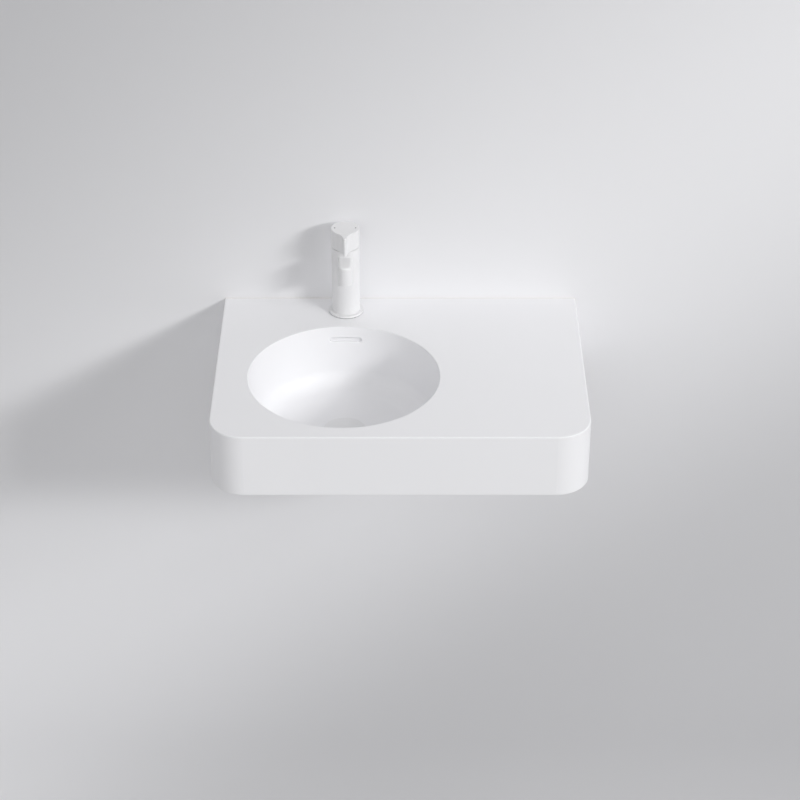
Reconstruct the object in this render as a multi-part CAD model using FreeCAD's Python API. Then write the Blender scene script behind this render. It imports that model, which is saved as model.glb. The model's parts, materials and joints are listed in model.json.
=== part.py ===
import FreeCAD, Part
import math
import os

Vector = FreeCAD.Vector

# Wall-hung washbasin with a round bowl, a single-lever tap and a push-open waste.
# Millimetres. X runs across, Y = 0 is the wall and -Y comes out of it, Z is up.
# The origin is on the wall, midway between the two wall fixings.

# Basin casting
basin_width = 550.0
basin_depth = 400.0
basin_height = 100.0
front_corner_radius = 50.0
top_edge_round = 2.0
skirt_edge_round = 1.5
deck_thickness = 12.0
skirt_thickness = 12.0
rear_wall_thickness = 14.0
rear_hollow_radius = 12.0

# Bowl
deck_behind_bowl = 89.0
deck_before_bowl = 26.0
bowl_offset = 83.5
bowl_taper_degrees = 9.0
bowl_corner_depth = 93.0
bowl_floor_fall = 4.5
bowl_corner_radius = 30.0
bowl_wall = 9.0
bowl_rim_round = 1.5

# Overflow
slot_width = 48.0
slot_height = 6.0
slot_edge_round = 2.0
slot_drop = 18.5
duct_head = 3.0
duct_side_margin = 3.0
duct_gap = 8.0
duct_wall = 6.0

# Wall fixings
fixing_drop = 60.0
fixing_spacing = 280.0
fixing_hole_radius = 9.0
fixing_pad_radius = 24.0
fixing_pad_height = 6.0
bush_bore_radius = 5.25
bush_clearance = 0.1
bush_collar_radius = 14.0
bush_collar_height = 3.0
washer_radius = 15.0
washer_bore_radius = 5.5
washer_thickness = 2.5

# Waste seat and waste
waste_recess_radius = 33.0
waste_recess_depth = 5.0
waste_hole_radius = 23.0
waste_boss_radius = 40.0
waste_gasket_thickness = 1.0
waste_gasket_margin = 0.5
waste_flange_radius = 32.4
waste_flange_thickness = 2.0
waste_thread_radius = 20.95
waste_bore_radius = 18.0
waste_thread_clearance = 0.1
waste_groove_depth = 0.8
waste_groove_width = 2.0
waste_tail_length = 32.0
window_count = 4
window_width = 16.0
window_height = 6.0
under_seal_radius = 31.0
under_seal_thickness = 5.0
under_washer_radius = 32.0
under_washer_thickness = 2.0
backnut_across_flats = 54.0
backnut_thickness = 10.0
spider_arms = 3
spider_arm_width = 3.0
spider_hub_radius = 9.0
spider_height = 6.0
spider_drop = 30.0

# Push-open plug
plug_radius = 32.3
plug_thickness = 3.2
plug_crown = 0.8
plug_edge_round = 1.2
plug_boss_radius = 7.0
plug_boss_height = 5.0
plug_seal_inner_radius = 23.5
plug_seal_outer_radius = 27.0
plug_seal_thickness = 1.5
plug_seal_clearance = 0.05
stem_radius = 4.0
stem_length = 36.0
stem_clearance = 0.05
sleeve_radius = 5.9
sleeve_collar_radius = 8.0
sleeve_collar_height = 3.0
sleeve_guide_height = 14.0
sleeve_below_hub = 16.0
sleeve_floor = 2.0
spring_wire_radius = 0.45
spring_clearance = 0.4
spring_turns = 5
spring_end_gap = 0.1

# Tap body and spout
tap_from_wall = 39.0
tap_radius = 21.5
tap_hole_radius = 17.5
base_gasket_thickness = 0.8
base_gasket_margin = 0.7
base_ring_radius = 26.5
base_ring_thickness = 3.0
base_ring_round = 0.6
base_spigot_length = 5.0
base_spigot_clearance = 0.3
base_bore_radius = 16.6
seam_above_spout = 9.5
seam_gap = 1.0
body_edge_round = 0.5
spout_top_height = 105.0
spout_reach = 57.0
spout_root_half_width = 12.0
spout_nose_radius = 10.6
spout_root_depth = 41.0
spout_nose_depth = 30.0
spout_edge_round = 3.5

# Water paths in the tap
inlet_half_spacing = 7.0
inlet_forward = 5.0
inlet_radius = 4.46
inlet_length = 12.0
riser_radius = 2.5
outlet_port_back = 7.0
outlet_port_radius = 3.0
outlet_gallery_drop = 18.0
spout_bore_radius = 2.5
spout_bore_start_drop = 15.3
spout_bore_slope = 0.638

# Under-deck clamp
stud_radius = 4.0
stud_back = 12.0
stud_in_body = 12.0
stud_below_deck = 40.0
stud_clearance = 0.3
thread_clearance = 0.05
clamp_radius = 23.0
clamp_slot_half_width = 13.0
clamp_slot_back = 5.0
clamp_gasket_thickness = 3.0
clamp_washer_thickness = 2.5
clamp_nut_across_flats = 13.0
clamp_nut_height = 12.0

# Aerator
aerator_behind_nose = 10.6
aerator_radius = 8.0
aerator_wall = 1.4
aerator_length = 8.0
aerator_lip = 1.0
aerator_clearance = 0.05
aerator_seal_thickness = 1.2
aerator_insert_clearance = 0.05
aerator_insert_recess = 0.8
aerator_jet_radius = 0.8
aerator_jets = 6
aerator_jet_circle_share = 0.6

# Cartridge
cartridge_floor_depth = 44.5
cartridge_radius = 17.5
cartridge_clearance = 0.1
cartridge_seal_thickness = 1.0
cartridge_seal_width = 1.3
cartridge_base_thickness = 4.0
cartridge_wall = 1.6
disc_thickness = 3.0
disc_clearance = 0.05
fixed_disc_margin = 0.3
moving_disc_radius = 11.0
moving_disc_pocket_radius = 6.0
moving_disc_pocket_depth = 1.5
carrier_height = 10.0
carrier_socket_depth = 7.0
pivot_depth = 13.5
ball_drop = 13.0
ball_radius = 3.4
ball_clearance = 0.35
rotor_clearance = 0.3
rotor_flange_radius = 14.5
rotor_flange_height = 4.5
rotor_radius = 10.0
rotor_running_clearance = 0.06
housing_roof = 3.0
neck_radius = 12.5
neck_height = 8.0
spindle_shaft_radius = 2.2
spindle_top_half_width = 4.0
spindle_top_above_pivot = 33.0
rotor_slot_clearance = 0.3
pin_radius = 1.5
pin_length = 18.0
pin_clearance = 0.04
nut_radius = 19.0
nut_thread_clearance = 0.05
nut_bore_radius = 13.0
nut_height = 8.0
nut_lead = 1.0
cover_radius = 18.6
cover_wall = 1.2
cover_opening_radius = 12.6
cover_collar_radius = 18.8
cover_collar_height = 1.2

# Handle
handle_height = 30.5
lever_reach = 38.0
lever_tip_half_width = 2.3
lever_root_half_width = 11.3
lever_waist_half_width = 5.0
lever_waist_reach = 26.0
handle_edge_round = 1.0
handle_wall = 2.5
handle_roof = 3.0
handle_tilt_degrees = 20.0
handle_tilt_clearance = 0.35
hub_radius = 7.0
hub_above_pivot = 20.0
hub_square_clearance = 0.05
handle_screw_above_pivot = 28.0
handle_screw_radius = 2.5
handle_screw_length = 6.0
handle_screw_hole_radius = 3.0
screw_plug_length = 2.4
screw_plug_clearance = 0.05
mark_radius = 1.1
mark_depth = 0.8
mark_from_axis = 16.0
mark_clearance = 0.03

# One overrun serves every cut that has to pass clean through a face.
overrun = 2.0

# Heights and places that pieces share
top_z = fixing_drop
deck_under_z = top_z - deck_thickness
skirt_z = top_z - basin_height
bowl_radius = (basin_depth - deck_behind_bowl - deck_before_bowl) / 2
bowl_x = -bowl_offset
bowl_y = -deck_behind_bowl - bowl_radius
tap_y = -tap_from_wall
taper = math.radians(bowl_taper_degrees)
floor_z = top_z - bowl_corner_depth - bowl_floor_fall
recess_z = floor_z - waste_recess_depth
seat_z = floor_z - bowl_wall - duct_gap - duct_wall
flange_under_z = recess_z + waste_gasket_thickness
flange_top_z = flange_under_z + waste_flange_thickness
plug_under_z = flange_top_z + plug_seal_thickness
under_seal_z = seat_z - under_seal_thickness
under_washer_z = under_seal_z - under_washer_thickness
backnut_z = under_washer_z - backnut_thickness
tail_top_z = backnut_z - waste_groove_width
tail_end_z = tail_top_z - waste_tail_length
hub_top_z = flange_under_z - spider_drop
base_ring_z = top_z + base_gasket_thickness
body_foot_z = base_ring_z + base_ring_thickness
aerator_reach = spout_reach - aerator_behind_nose
spout_top_z = top_z + spout_top_height
spout_root_low_z = spout_top_z - spout_root_depth
spout_nose_low_z = spout_top_z - spout_nose_depth
seam_z = spout_top_z + seam_above_spout
pivot_z = seam_z - pivot_depth
cartridge_floor_z = seam_z - cartridge_floor_depth
cartridge_base_z = cartridge_floor_z + cartridge_seal_thickness
fixed_disc_z = cartridge_base_z + cartridge_base_thickness
moving_disc_z = fixed_disc_z + disc_thickness + disc_clearance
carrier_z = moving_disc_z + disc_thickness
rotor_z = carrier_z + carrier_height + rotor_clearance
housing_roof_z = rotor_z + rotor_flange_height + rotor_clearance
shoulder_z = housing_roof_z + housing_roof
neck_top_z = shoulder_z + neck_height
cover_z = shoulder_z + nut_height
handle_z = seam_z + seam_gap
handle_top_z = seam_z + handle_height
handle_screw_z = pivot_z + handle_screw_above_pivot
clamp_gasket_z = deck_under_z - clamp_gasket_thickness
clamp_washer_z = clamp_gasket_z - clamp_washer_thickness


def cylinder(radius, low, high, x=bowl_x, y=tap_y):
    return Part.makeCylinder(radius, high - low, Vector(x, y, low))


def ring(outer, inner, low, high, x=bowl_x, y=tap_y):
    return cylinder(outer, low, high, x, y).cut(cylinder(inner, low - overrun, high + overrun, x, y))


def block(x_low, x_high, y_low, y_high, z_low, z_high):
    size = (x_high - x_low, y_high - y_low, z_high - z_low)
    return Part.makeBox(*size, Vector(x_low, y_low, z_low))


def face(points):
    corners = [Vector(*point) for point in points]
    return Part.Face(Part.makePolygon(corners + corners[:1]))


def turned(points, x, y):
    """A solid of revolution about the upright axis at x, y, from (radius, height) points."""
    outline = face([(x + radius, y, height) for radius, height in points])
    return outline.revolve(Vector(x, y, 0), Vector(0, 0, 1), 360)


def side_slab(points, half_width, x=bowl_x):
    """A slab across X from (y, z) points, centred on x."""
    outline = face([(x - half_width, y, z) for y, z in points])
    return outline.extrude(Vector(2 * half_width, 0, 0))


def hexagon(across_flats, low, high, x, y):
    corner = across_flats / math.sqrt(3)
    angles = [math.radians(60 * step) for step in range(6)]
    points = [(x + corner * math.cos(a), y + corner * math.sin(a), low) for a in angles]
    return face(points).extrude(Vector(0, 0, high - low))


def across(radius, x_low, x_high, y, z):
    return Part.makeCylinder(radius, x_high - x_low, Vector(x_low, y, z), Vector(1, 0, 0))


def through_wall(radius, y_low, y_high, x, z):
    return Part.makeCylinder(radius, y_high - y_low, Vector(x, y_low, z), Vector(0, 1, 0))


def near(value, target):
    return abs(value - target) < overrun / 10


def edges_where(shape, test):
    return [edge for edge in shape.Edges if test(edge.BoundBox)]


def upright(box):
    return box.ZLength > max(box.XLength, box.YLength)


# Basin casting


def bowl_outline(offset):
    """The bowl's wall and floor moved outwards by offset, as (radius, depth) points."""
    rim = bowl_radius + offset / math.cos(taper)
    corner_radius = bowl_radius - bowl_corner_depth * math.tan(taper)
    fall_share = bowl_floor_fall / (corner_radius - waste_recess_radius)
    corner_depth_at_axis = bowl_corner_depth + offset + fall_share * corner_radius
    corner_depth = (corner_depth_at_axis - fall_share * rim) / (1 - fall_share * math.tan(taper))
    corner = rim - corner_depth * math.tan(taper)
    return [(rim, 0), (corner, corner_depth), (waste_recess_radius, top_z - floor_z + offset)]


def bowl_form(offset, high):
    """The solid inside the bowl outline, up to the height high, with its corner rounded."""
    rim, corner, floor = bowl_outline(offset)
    rim_at_high = rim[0] - (top_z - high) * math.tan(taper)
    points = [(0, high), (rim_at_high, high)]
    if high > top_z:
        points = [(0, high), (rim[0], high), (rim[0], top_z)]
    points += [(corner[0], top_z - corner[1]), (floor[0], top_z - floor[1]), (0, top_z - floor[1])]
    form = turned(points, bowl_x, bowl_y)

    def at_corner(box):
        return near(box.ZMin, top_z - corner[1]) and near(box.XLength, 2 * corner[0])

    return form.makeFillet(bowl_corner_radius + offset, edges_where(form, at_corner))


def duct_form(offset, half_width, high):
    """The overflow duct's shape behind and under the bowl, as deep as offset from its face."""
    rim, corner, floor = bowl_outline(offset)
    rim_at_high = rim[0] - (top_z - high) * math.tan(taper)
    points = [(bowl_y, high), (bowl_y + rim_at_high, high)]
    points += [(bowl_y + corner[0], top_z - corner[1]), (bowl_y + floor[0], top_z - floor[1])]
    points += [(bowl_y, top_z - floor[1])]
    form = side_slab(points, half_width)

    def at_corner(box):
        return near(box.ZMax, top_z - corner[1]) and near(box.YMin, bowl_y + corner[0])

    return form.makeFillet(bowl_corner_radius + offset, edges_where(form, at_corner))


def basin_block():
    half = basin_width / 2
    form = block(-half, half, -basin_depth, 0, skirt_z, top_z)

    def front_corner(box):
        return upright(box) and near(box.YMax, -basin_depth)

    form = form.makeFillet(front_corner_radius, edges_where(form, front_corner))

    def top_outer(box):
        return near(box.ZMin, top_z) and box.YMin < -overrun

    form = form.makeFillet(top_edge_round, edges_where(form, top_outer))

    def bottom_outer(box):
        return near(box.ZMax, skirt_z) and box.YMin < -overrun

    return form.makeFillet(skirt_edge_round, edges_where(form, bottom_outer))


def basin_hollow():
    half = basin_width / 2 - skirt_thickness
    front = -basin_depth + skirt_thickness
    form = block(-half, half, front, -rear_wall_thickness, skirt_z - overrun, deck_under_z)

    def front_corner(box):
        return upright(box) and near(box.YMax, front)

    def rear_corner(box):
        return upright(box) and near(box.YMin, -rear_wall_thickness)

    form = form.makeFillet(front_corner_radius - skirt_thickness, edges_where(form, front_corner))
    return form.makeFillet(rear_hollow_radius, edges_where(form, rear_corner))


def overflow_slot():
    """The slot through the bowl's back wall into the duct, with round ends."""
    end_radius = slot_height / 2
    middle_z = top_z - slot_drop - end_radius
    wall_face = bowl_y + bowl_radius - slot_drop * math.tan(taper)
    low = wall_face - bowl_wall - bowl_wall
    high = wall_face + bowl_wall + duct_gap / 2
    half = slot_width / 2 - end_radius
    slot = block(bowl_x - half, bowl_x + half, low, high, middle_z - end_radius, middle_z + end_radius)
    for side in (-1, 1):
        slot = slot.fuse(through_wall(end_radius, low, high, bowl_x + side * half, middle_z))
    return slot


def slot_mouth(body):
    """The edges where the slot opens into the bowl."""
    face_radius = bowl_radius - slot_drop * math.tan(taper)
    slot_low_z = top_z - slot_drop - slot_height
    mouth = []
    for edge in body.Edges:
        box = edge.BoundBox
        level = slot_low_z - overrun < box.ZMin and box.ZMax < top_z - slot_drop + overrun
        behind = box.YMin > bowl_y + face_radius / 2 and box.XMax < bowl_x + slot_width
        start = edge.Vertexes[0].Point
        reach = math.hypot(start.x - bowl_x, start.y - bowl_y)
        if level and behind and reach < face_radius + bowl_wall / 2:
            mouth.append(edge)
    return mouth


def fixing_xs():
    return {"left": -fixing_spacing / 2, "right": fixing_spacing / 2}


def basin_body():
    duct_half = slot_width / 2 + duct_side_margin
    duct_top = top_z - slot_drop + duct_head
    shell = bowl_form(bowl_wall, deck_under_z + deck_thickness / 2)
    ridge = duct_form(bowl_wall + duct_gap + duct_wall, duct_half + duct_wall, deck_under_z)
    boss = cylinder(waste_boss_radius, seat_z, floor_z, bowl_x, bowl_y)
    body = basin_block().cut(basin_hollow()).fuse([shell, ridge, boss])
    for x in fixing_xs().values():
        pad_low = -rear_wall_thickness - fixing_pad_height
        body = body.fuse(through_wall(fixing_pad_radius, pad_low, -rear_wall_thickness, x, 0))
    duct = duct_form(bowl_wall + duct_gap, duct_half, duct_top).cut(shell)
    cuts = [bowl_form(0, top_z + overrun), duct, overflow_slot()]
    cuts.append(cylinder(waste_recess_radius, recess_z, floor_z + overrun, bowl_x, bowl_y))
    cuts.append(cylinder(waste_hole_radius, seat_z - overrun, floor_z, bowl_x, bowl_y))
    cuts.append(cylinder(tap_hole_radius, deck_under_z - overrun, top_z + overrun))
    for x in fixing_xs().values():
        pad_low = -rear_wall_thickness - fixing_pad_height
        cuts.append(through_wall(fixing_hole_radius, pad_low - overrun, overrun, x, 0))
    body = body.cut(cuts).removeSplitter()

    def rim(box):
        return near(box.ZMin, top_z) and near(box.XLength, 2 * bowl_radius)

    body = body.makeFillet(bowl_rim_round, edges_where(body, rim))
    return body.makeFillet(slot_edge_round, slot_mouth(body))


# Wall fixings


def fixing_bush(x):
    face_y = -rear_wall_thickness - fixing_pad_height
    bush = through_wall(fixing_hole_radius - bush_clearance, face_y, 0, x, 0)
    bush = bush.fuse(through_wall(bush_collar_radius, face_y - bush_collar_height, face_y, x, 0))
    return bush.cut(through_wall(bush_bore_radius, face_y - bush_collar_height - overrun, overrun, x, 0))


def fixing_washer(x):
    high = -rear_wall_thickness - fixing_pad_height - bush_collar_height
    low = high - washer_thickness
    washer = through_wall(washer_radius, low, high, x, 0)
    return washer.cut(through_wall(washer_bore_radius, low - overrun, high + overrun, x, 0))


# Waste


def waste_body():
    points = [
        (waste_bore_radius, tail_end_z),
        (waste_thread_radius, tail_end_z),
        (waste_thread_radius, tail_top_z),
        (waste_thread_radius - waste_groove_depth, tail_top_z),
        (waste_thread_radius - waste_groove_depth, backnut_z),
        (waste_thread_radius, backnut_z),
        (waste_thread_radius, flange_under_z),
        (waste_flange_radius, flange_under_z),
        (waste_flange_radius, flange_top_z),
        (waste_thread_radius, flange_top_z),
        (waste_bore_radius, flange_under_z),
    ]
    body = turned(points, bowl_x, bowl_y)
    duct_middle_z = floor_z - bowl_wall - duct_gap / 2
    window = block(
        bowl_x - window_width / 2,
        bowl_x + window_width / 2,
        bowl_y,
        bowl_y + waste_hole_radius,
        duct_middle_z - window_height / 2,
        duct_middle_z + window_height / 2,
    )
    axis_point = Vector(bowl_x, bowl_y, 0)
    for step in range(window_count):
        turned_window = window.copy()
        turned_window.rotate(axis_point, Vector(0, 0, 1), 360 / window_count * step)
        body = body.cut(turned_window)
    arm_reach = (waste_bore_radius + waste_thread_radius) / 2
    hub_low_z = hub_top_z - spider_height
    hub = cylinder(spider_hub_radius, hub_low_z, hub_top_z, bowl_x, bowl_y)
    half_arm = spider_arm_width / 2
    arm = block(bowl_x - half_arm, bowl_x + half_arm, bowl_y, bowl_y + arm_reach, hub_low_z, hub_top_z)
    for step in range(spider_arms):
        turned_arm = arm.copy()
        turned_arm.rotate(axis_point, Vector(0, 0, 1), 360 / spider_arms * step)
        hub = hub.fuse(turned_arm)
    bore_radius = sleeve_radius + thread_clearance
    bore = cylinder(bore_radius, hub_low_z - overrun, hub_top_z + overrun, bowl_x, bowl_y)
    return body.fuse(hub).cut(bore).removeSplitter()


def waste_ring(outer, low, high):
    return ring(outer, waste_thread_radius + waste_thread_clearance, low, high, bowl_x, bowl_y)


def waste_gasket():
    return waste_ring(waste_flange_radius - waste_gasket_margin, recess_z, flange_under_z)


def under_seal():
    """The tapered rubber seal under the casting."""
    inner = waste_thread_radius + waste_thread_clearance
    points = [
        (inner, seat_z),
        (waste_hole_radius, seat_z),
        (under_seal_radius, seat_z),
        (under_seal_radius, under_seal_z),
        (inner, under_seal_z),
    ]
    return turned(points, bowl_x, bowl_y)


def under_washer():
    return waste_ring(under_washer_radius, under_washer_z, under_seal_z)


def backnut():
    nut = hexagon(backnut_across_flats, backnut_z, under_washer_z, bowl_x, bowl_y)
    corner = backnut_across_flats / math.sqrt(3)
    chamfer = (corner - backnut_across_flats / 2) / 2
    crown = [
        (0, backnut_z),
        (corner - chamfer - chamfer, backnut_z),
        (corner, backnut_z + chamfer),
        (corner, under_washer_z - chamfer),
        (corner - chamfer - chamfer, under_washer_z),
        (0, under_washer_z),
    ]
    nut = nut.common(turned(crown, bowl_x, bowl_y))
    bore_radius = waste_thread_radius + waste_thread_clearance
    return nut.cut(cylinder(bore_radius, backnut_z - overrun, under_washer_z + overrun, bowl_x, bowl_y))


# Push-open plug


def plug_cap():
    edge_z = plug_under_z + plug_thickness
    edge_point = Vector(bowl_x + plug_radius, bowl_y, edge_z)
    crown_point = Vector(bowl_x, bowl_y, edge_z + plug_crown)
    share_across = 0.5
    crown_share = 1 - share_across ** 2
    middle = Vector(bowl_x + plug_radius * share_across, bowl_y, edge_z + plug_crown * crown_share)
    foot = Vector(bowl_x + plug_radius, bowl_y, plug_under_z)
    centre = Vector(bowl_x, bowl_y, plug_under_z)
    edges = [
        Part.LineSegment(centre, foot).toShape(),
        Part.LineSegment(foot, edge_point).toShape(),
        Part.Arc(edge_point, middle, crown_point).toShape(),
        Part.LineSegment(crown_point, centre).toShape(),
    ]
    cap = Part.Face(Part.Wire(edges)).revolve(Vector(bowl_x, bowl_y, 0), Vector(0, 0, 1), 360)

    def top_edge(box):
        return near(box.ZMin, edge_z) and near(box.XLength, 2 * plug_radius)

    cap = cap.makeFillet(plug_edge_round, edges_where(cap, top_edge))
    boss_z = plug_under_z - plug_boss_height
    cap = cap.fuse(cylinder(plug_boss_radius, boss_z, plug_under_z, bowl_x, bowl_y))
    socket_radius = stem_radius + thread_clearance
    return cap.cut(cylinder(socket_radius, boss_z - overrun, plug_under_z, bowl_x, bowl_y))


def plug_seal():
    low = flange_top_z + plug_seal_clearance
    return ring(plug_seal_outer_radius, plug_seal_inner_radius, low, plug_under_z, bowl_x, bowl_y)


def plug_stem():
    return cylinder(stem_radius, plug_under_z - stem_length, plug_under_z, bowl_x, bowl_y)


def sleeve_floor_z():
    return hub_top_z - spider_height - sleeve_below_hub + sleeve_floor


def click_sleeve():
    low = hub_top_z - spider_height - sleeve_below_hub
    collar_top = hub_top_z + sleeve_collar_height
    sleeve = cylinder(sleeve_radius, low, hub_top_z + sleeve_guide_height, bowl_x, bowl_y)
    sleeve = sleeve.fuse(cylinder(sleeve_collar_radius, hub_top_z, collar_top, bowl_x, bowl_y))
    bore_top = hub_top_z + sleeve_guide_height + overrun
    bore = cylinder(stem_radius + stem_clearance, sleeve_floor_z(), bore_top, bowl_x, bowl_y)
    return sleeve.cut(bore).removeSplitter()


def click_spring():
    """The spring under the stem, one unbroken wire with a steady rise."""
    coil_radius = stem_radius - spring_clearance - spring_wire_radius
    low = sleeve_floor_z() + spring_wire_radius + spring_end_gap
    high = plug_under_z - stem_length - spring_wire_radius - spring_end_gap
    helix = Part.makeHelix((high - low) / spring_turns, high - low, coil_radius)
    helix.translate(Vector(bowl_x, bowl_y, low))
    start = Vector(bowl_x + coil_radius, bowl_y, low)
    section = Part.Wire(Part.makeCircle(spring_wire_radius, start, Vector(0, 1, 0)))
    return Part.Wire(helix).makePipeShell([section], True, True)


# Tap body, its foot and the clamp under the deck


def spout_side_outline():
    """The spout seen from the side: flat top, upright nose and a straight rising underside."""
    return [
        (tap_y, spout_root_low_z),
        (tap_y - tap_radius, spout_root_low_z),
        (tap_y - spout_reach, spout_nose_low_z),
        (tap_y - spout_reach, spout_top_z),
        (tap_y, spout_top_z),
    ]


def spout_plan():
    """The spout seen from above: straight flanks that narrow to a round nose."""
    nose_centre_y = tap_y - spout_reach + spout_nose_radius
    low = spout_root_low_z - overrun

    def at(half_width, y):
        return Vector(bowl_x + half_width, y, low)

    nose_tip = at(0, tap_y - spout_reach)
    left_root = at(-spout_root_half_width, tap_y)
    left_nose = at(-spout_nose_radius, nose_centre_y)
    right_nose = at(spout_nose_radius, nose_centre_y)
    right_root = at(spout_root_half_width, tap_y)
    edges = [
        Part.LineSegment(left_root, left_nose).toShape(),
        Part.Arc(left_nose, nose_tip, right_nose).toShape(),
        Part.LineSegment(right_nose, right_root).toShape(),
        Part.LineSegment(right_root, left_root).toShape(),
    ]
    return Part.Face(Part.Wire(edges)).extrude(Vector(0, 0, spout_root_depth + overrun + overrun))


def spout():
    form = side_slab(spout_side_outline(), spout_root_half_width).common(spout_plan())

    def upper_edge(box):
        return near(box.ZMin, spout_top_z) and box.YMin < tap_y - overrun

    return form.makeFillet(spout_edge_round, edges_where(form, upper_edge))


def aerator_frame():
    """The outlet's centre on the spout's underside, and how far it leans forward."""
    rise = spout_nose_low_z - spout_root_low_z
    run = spout_reach - tap_radius
    outlet_z = spout_root_low_z + rise / run * (aerator_reach - tap_radius)
    centre = Vector(bowl_x, tap_y - aerator_reach, outlet_z)
    return centre, math.degrees(math.atan2(rise, run))


def at_aerator(shape):
    """A piece modelled about the Z axis with its mouth at zero, moved to the spout's outlet."""
    centre, lean = aerator_frame()
    shape.rotate(Vector(0, 0, 0), Vector(1, 0, 0), -lean)
    shape.translate(centre)
    return shape


def cartridge_ports():
    """The inlet and outlet holes between body and cartridge, as (x, y, radius)."""
    inlet_y = tap_y - inlet_forward
    ports = [(bowl_x + side * inlet_half_spacing, inlet_y, riser_radius) for side in (-1, 1)]
    ports.append((bowl_x, tap_y + outlet_port_back, outlet_port_radius))
    return ports


def tap_body():
    body = cylinder(tap_radius, body_foot_z, seam_z)

    def top_rim(box):
        return near(box.ZMin, seam_z) and near(box.XLength, 2 * tap_radius)

    body = body.makeFillet(body_edge_round, edges_where(body, top_rim)).fuse(spout())
    cuts = [cylinder(cartridge_radius + cartridge_clearance, cartridge_floor_z, seam_z + overrun)]
    cuts.append(cylinder(nut_radius + nut_thread_clearance, shoulder_z - nut_lead, seam_z + overrun))
    for x, y, radius in cartridge_ports()[:2]:
        cuts.append(cylinder(inlet_radius, body_foot_z - overrun, body_foot_z + inlet_length, x, y))
        cuts.append(cylinder(radius, body_foot_z, cartridge_floor_z + overrun, x, y))
    outlet_x, outlet_y, port_radius = cartridge_ports()[2]
    gallery_z = cartridge_floor_z - outlet_gallery_drop
    cuts.append(cylinder(port_radius, gallery_z, cartridge_floor_z + overrun, outlet_x, outlet_y))
    bore_start_z = cartridge_floor_z - spout_bore_start_drop - outlet_port_back * spout_bore_slope
    bore_start = Vector(bowl_x, outlet_y, bore_start_z)
    run = aerator_reach + outlet_port_back
    bore_vector = Vector(0, -run, run * spout_bore_slope)
    cuts.append(Part.makeCylinder(spout_bore_radius, bore_vector.Length, bore_start, bore_vector))
    outlet_depth = aerator_length + aerator_seal_thickness
    outlet_radius = aerator_radius + aerator_clearance
    outlet = Part.makeCylinder(outlet_radius, outlet_depth + overrun, Vector(0, 0, -overrun))
    cuts.append(at_aerator(outlet))
    stud_top = body_foot_z + stud_in_body
    stud_bore = stud_radius + thread_clearance
    cuts.append(cylinder(stud_bore, body_foot_z - overrun, stud_top, bowl_x, tap_y + stud_back))
    return body.cut(cuts).removeSplitter()


def base_gasket():
    outer = base_ring_radius - base_gasket_margin
    return ring(outer, tap_hole_radius + base_gasket_margin, top_z, base_ring_z)


def base_ring():
    spigot_z = top_z - base_spigot_length
    spigot_radius = tap_hole_radius - base_spigot_clearance
    foot = cylinder(base_ring_radius, base_ring_z, body_foot_z)

    def upper_rim(box):
        return near(box.ZMin, body_foot_z)

    foot = foot.makeFillet(base_ring_round, edges_where(foot, upper_rim))
    foot = foot.fuse(cylinder(spigot_radius, spigot_z, base_ring_z))
    return foot.cut(cylinder(base_bore_radius, spigot_z - overrun, body_foot_z + overrun)).removeSplitter()


def horseshoe(low, high):
    """A C-shaped plate round the stud, open to the front for the supply tails."""
    plate = cylinder(clamp_radius, low, high)
    half = clamp_slot_half_width
    back = tap_y + clamp_slot_back
    front = tap_y - clamp_radius - overrun
    slot = block(bowl_x - half, bowl_x + half, front, back, low - overrun, high + overrun)
    stud_hole_radius = stud_radius + stud_clearance
    stud_hole = cylinder(stud_hole_radius, low - overrun, high + overrun, bowl_x, tap_y + stud_back)
    return plate.cut([slot, stud_hole])


def clamp_gasket():
    return horseshoe(clamp_gasket_z, deck_under_z)


def clamp_washer():
    return horseshoe(clamp_washer_z, clamp_gasket_z)


def clamp_stud():
    low = deck_under_z - stud_below_deck
    return cylinder(stud_radius, low, body_foot_z + stud_in_body, bowl_x, tap_y + stud_back)


def clamp_nut():
    low = clamp_washer_z - clamp_nut_height
    nut = hexagon(clamp_nut_across_flats, low, clamp_washer_z, bowl_x, tap_y + stud_back)
    bore_radius = stud_radius + thread_clearance
    return nut.cut(cylinder(bore_radius, low - overrun, clamp_washer_z + overrun, bowl_x, tap_y + stud_back))


# Aerator, modelled about the Z axis with the mouth at zero


def aerator_housing():
    inner = aerator_radius - aerator_wall
    shell = Part.makeCylinder(aerator_radius, aerator_length)
    shell = shell.cut(Part.makeCylinder(inner, aerator_length, Vector(0, 0, aerator_lip)))
    mouth = Part.makeCylinder(inner - aerator_lip, aerator_length, Vector(0, 0, -aerator_length / 2))
    return at_aerator(shell.cut(mouth))


def aerator_insert():
    radius = aerator_radius - aerator_wall - aerator_insert_clearance
    top = aerator_length - aerator_insert_recess
    insert = Part.makeCylinder(radius, top - aerator_lip, Vector(0, 0, aerator_lip))
    for step in range(aerator_jets):
        angle = 2 * math.pi / aerator_jets * step
        reach = radius * aerator_jet_circle_share
        place = Vector(reach * math.cos(angle), reach * math.sin(angle), 0)
        insert = insert.cut(Part.makeCylinder(aerator_jet_radius, aerator_length, place))
    return at_aerator(insert)


def aerator_seal():
    place = Vector(0, 0, aerator_length)
    seal = Part.makeCylinder(aerator_radius, aerator_seal_thickness, place)
    inner = aerator_radius - aerator_wall - aerator_lip
    return at_aerator(seal.cut(Part.makeCylinder(inner, aerator_seal_thickness, place)))


# Cartridge


def port_holes(shape, low, high):
    for x, y, radius in cartridge_ports():
        shape = shape.cut(cylinder(radius, low - overrun, high + overrun, x, y))
    return shape


def cartridge_base_seals():
    seals = []
    for x, y, radius in cartridge_ports():
        seals.append(ring(radius + cartridge_seal_width, radius, cartridge_floor_z, cartridge_base_z, x, y))
    return Part.makeCompound(seals)


def cartridge_base():
    plate = cylinder(cartridge_radius, cartridge_base_z, fixed_disc_z)
    return port_holes(plate, cartridge_base_z, fixed_disc_z)


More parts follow.
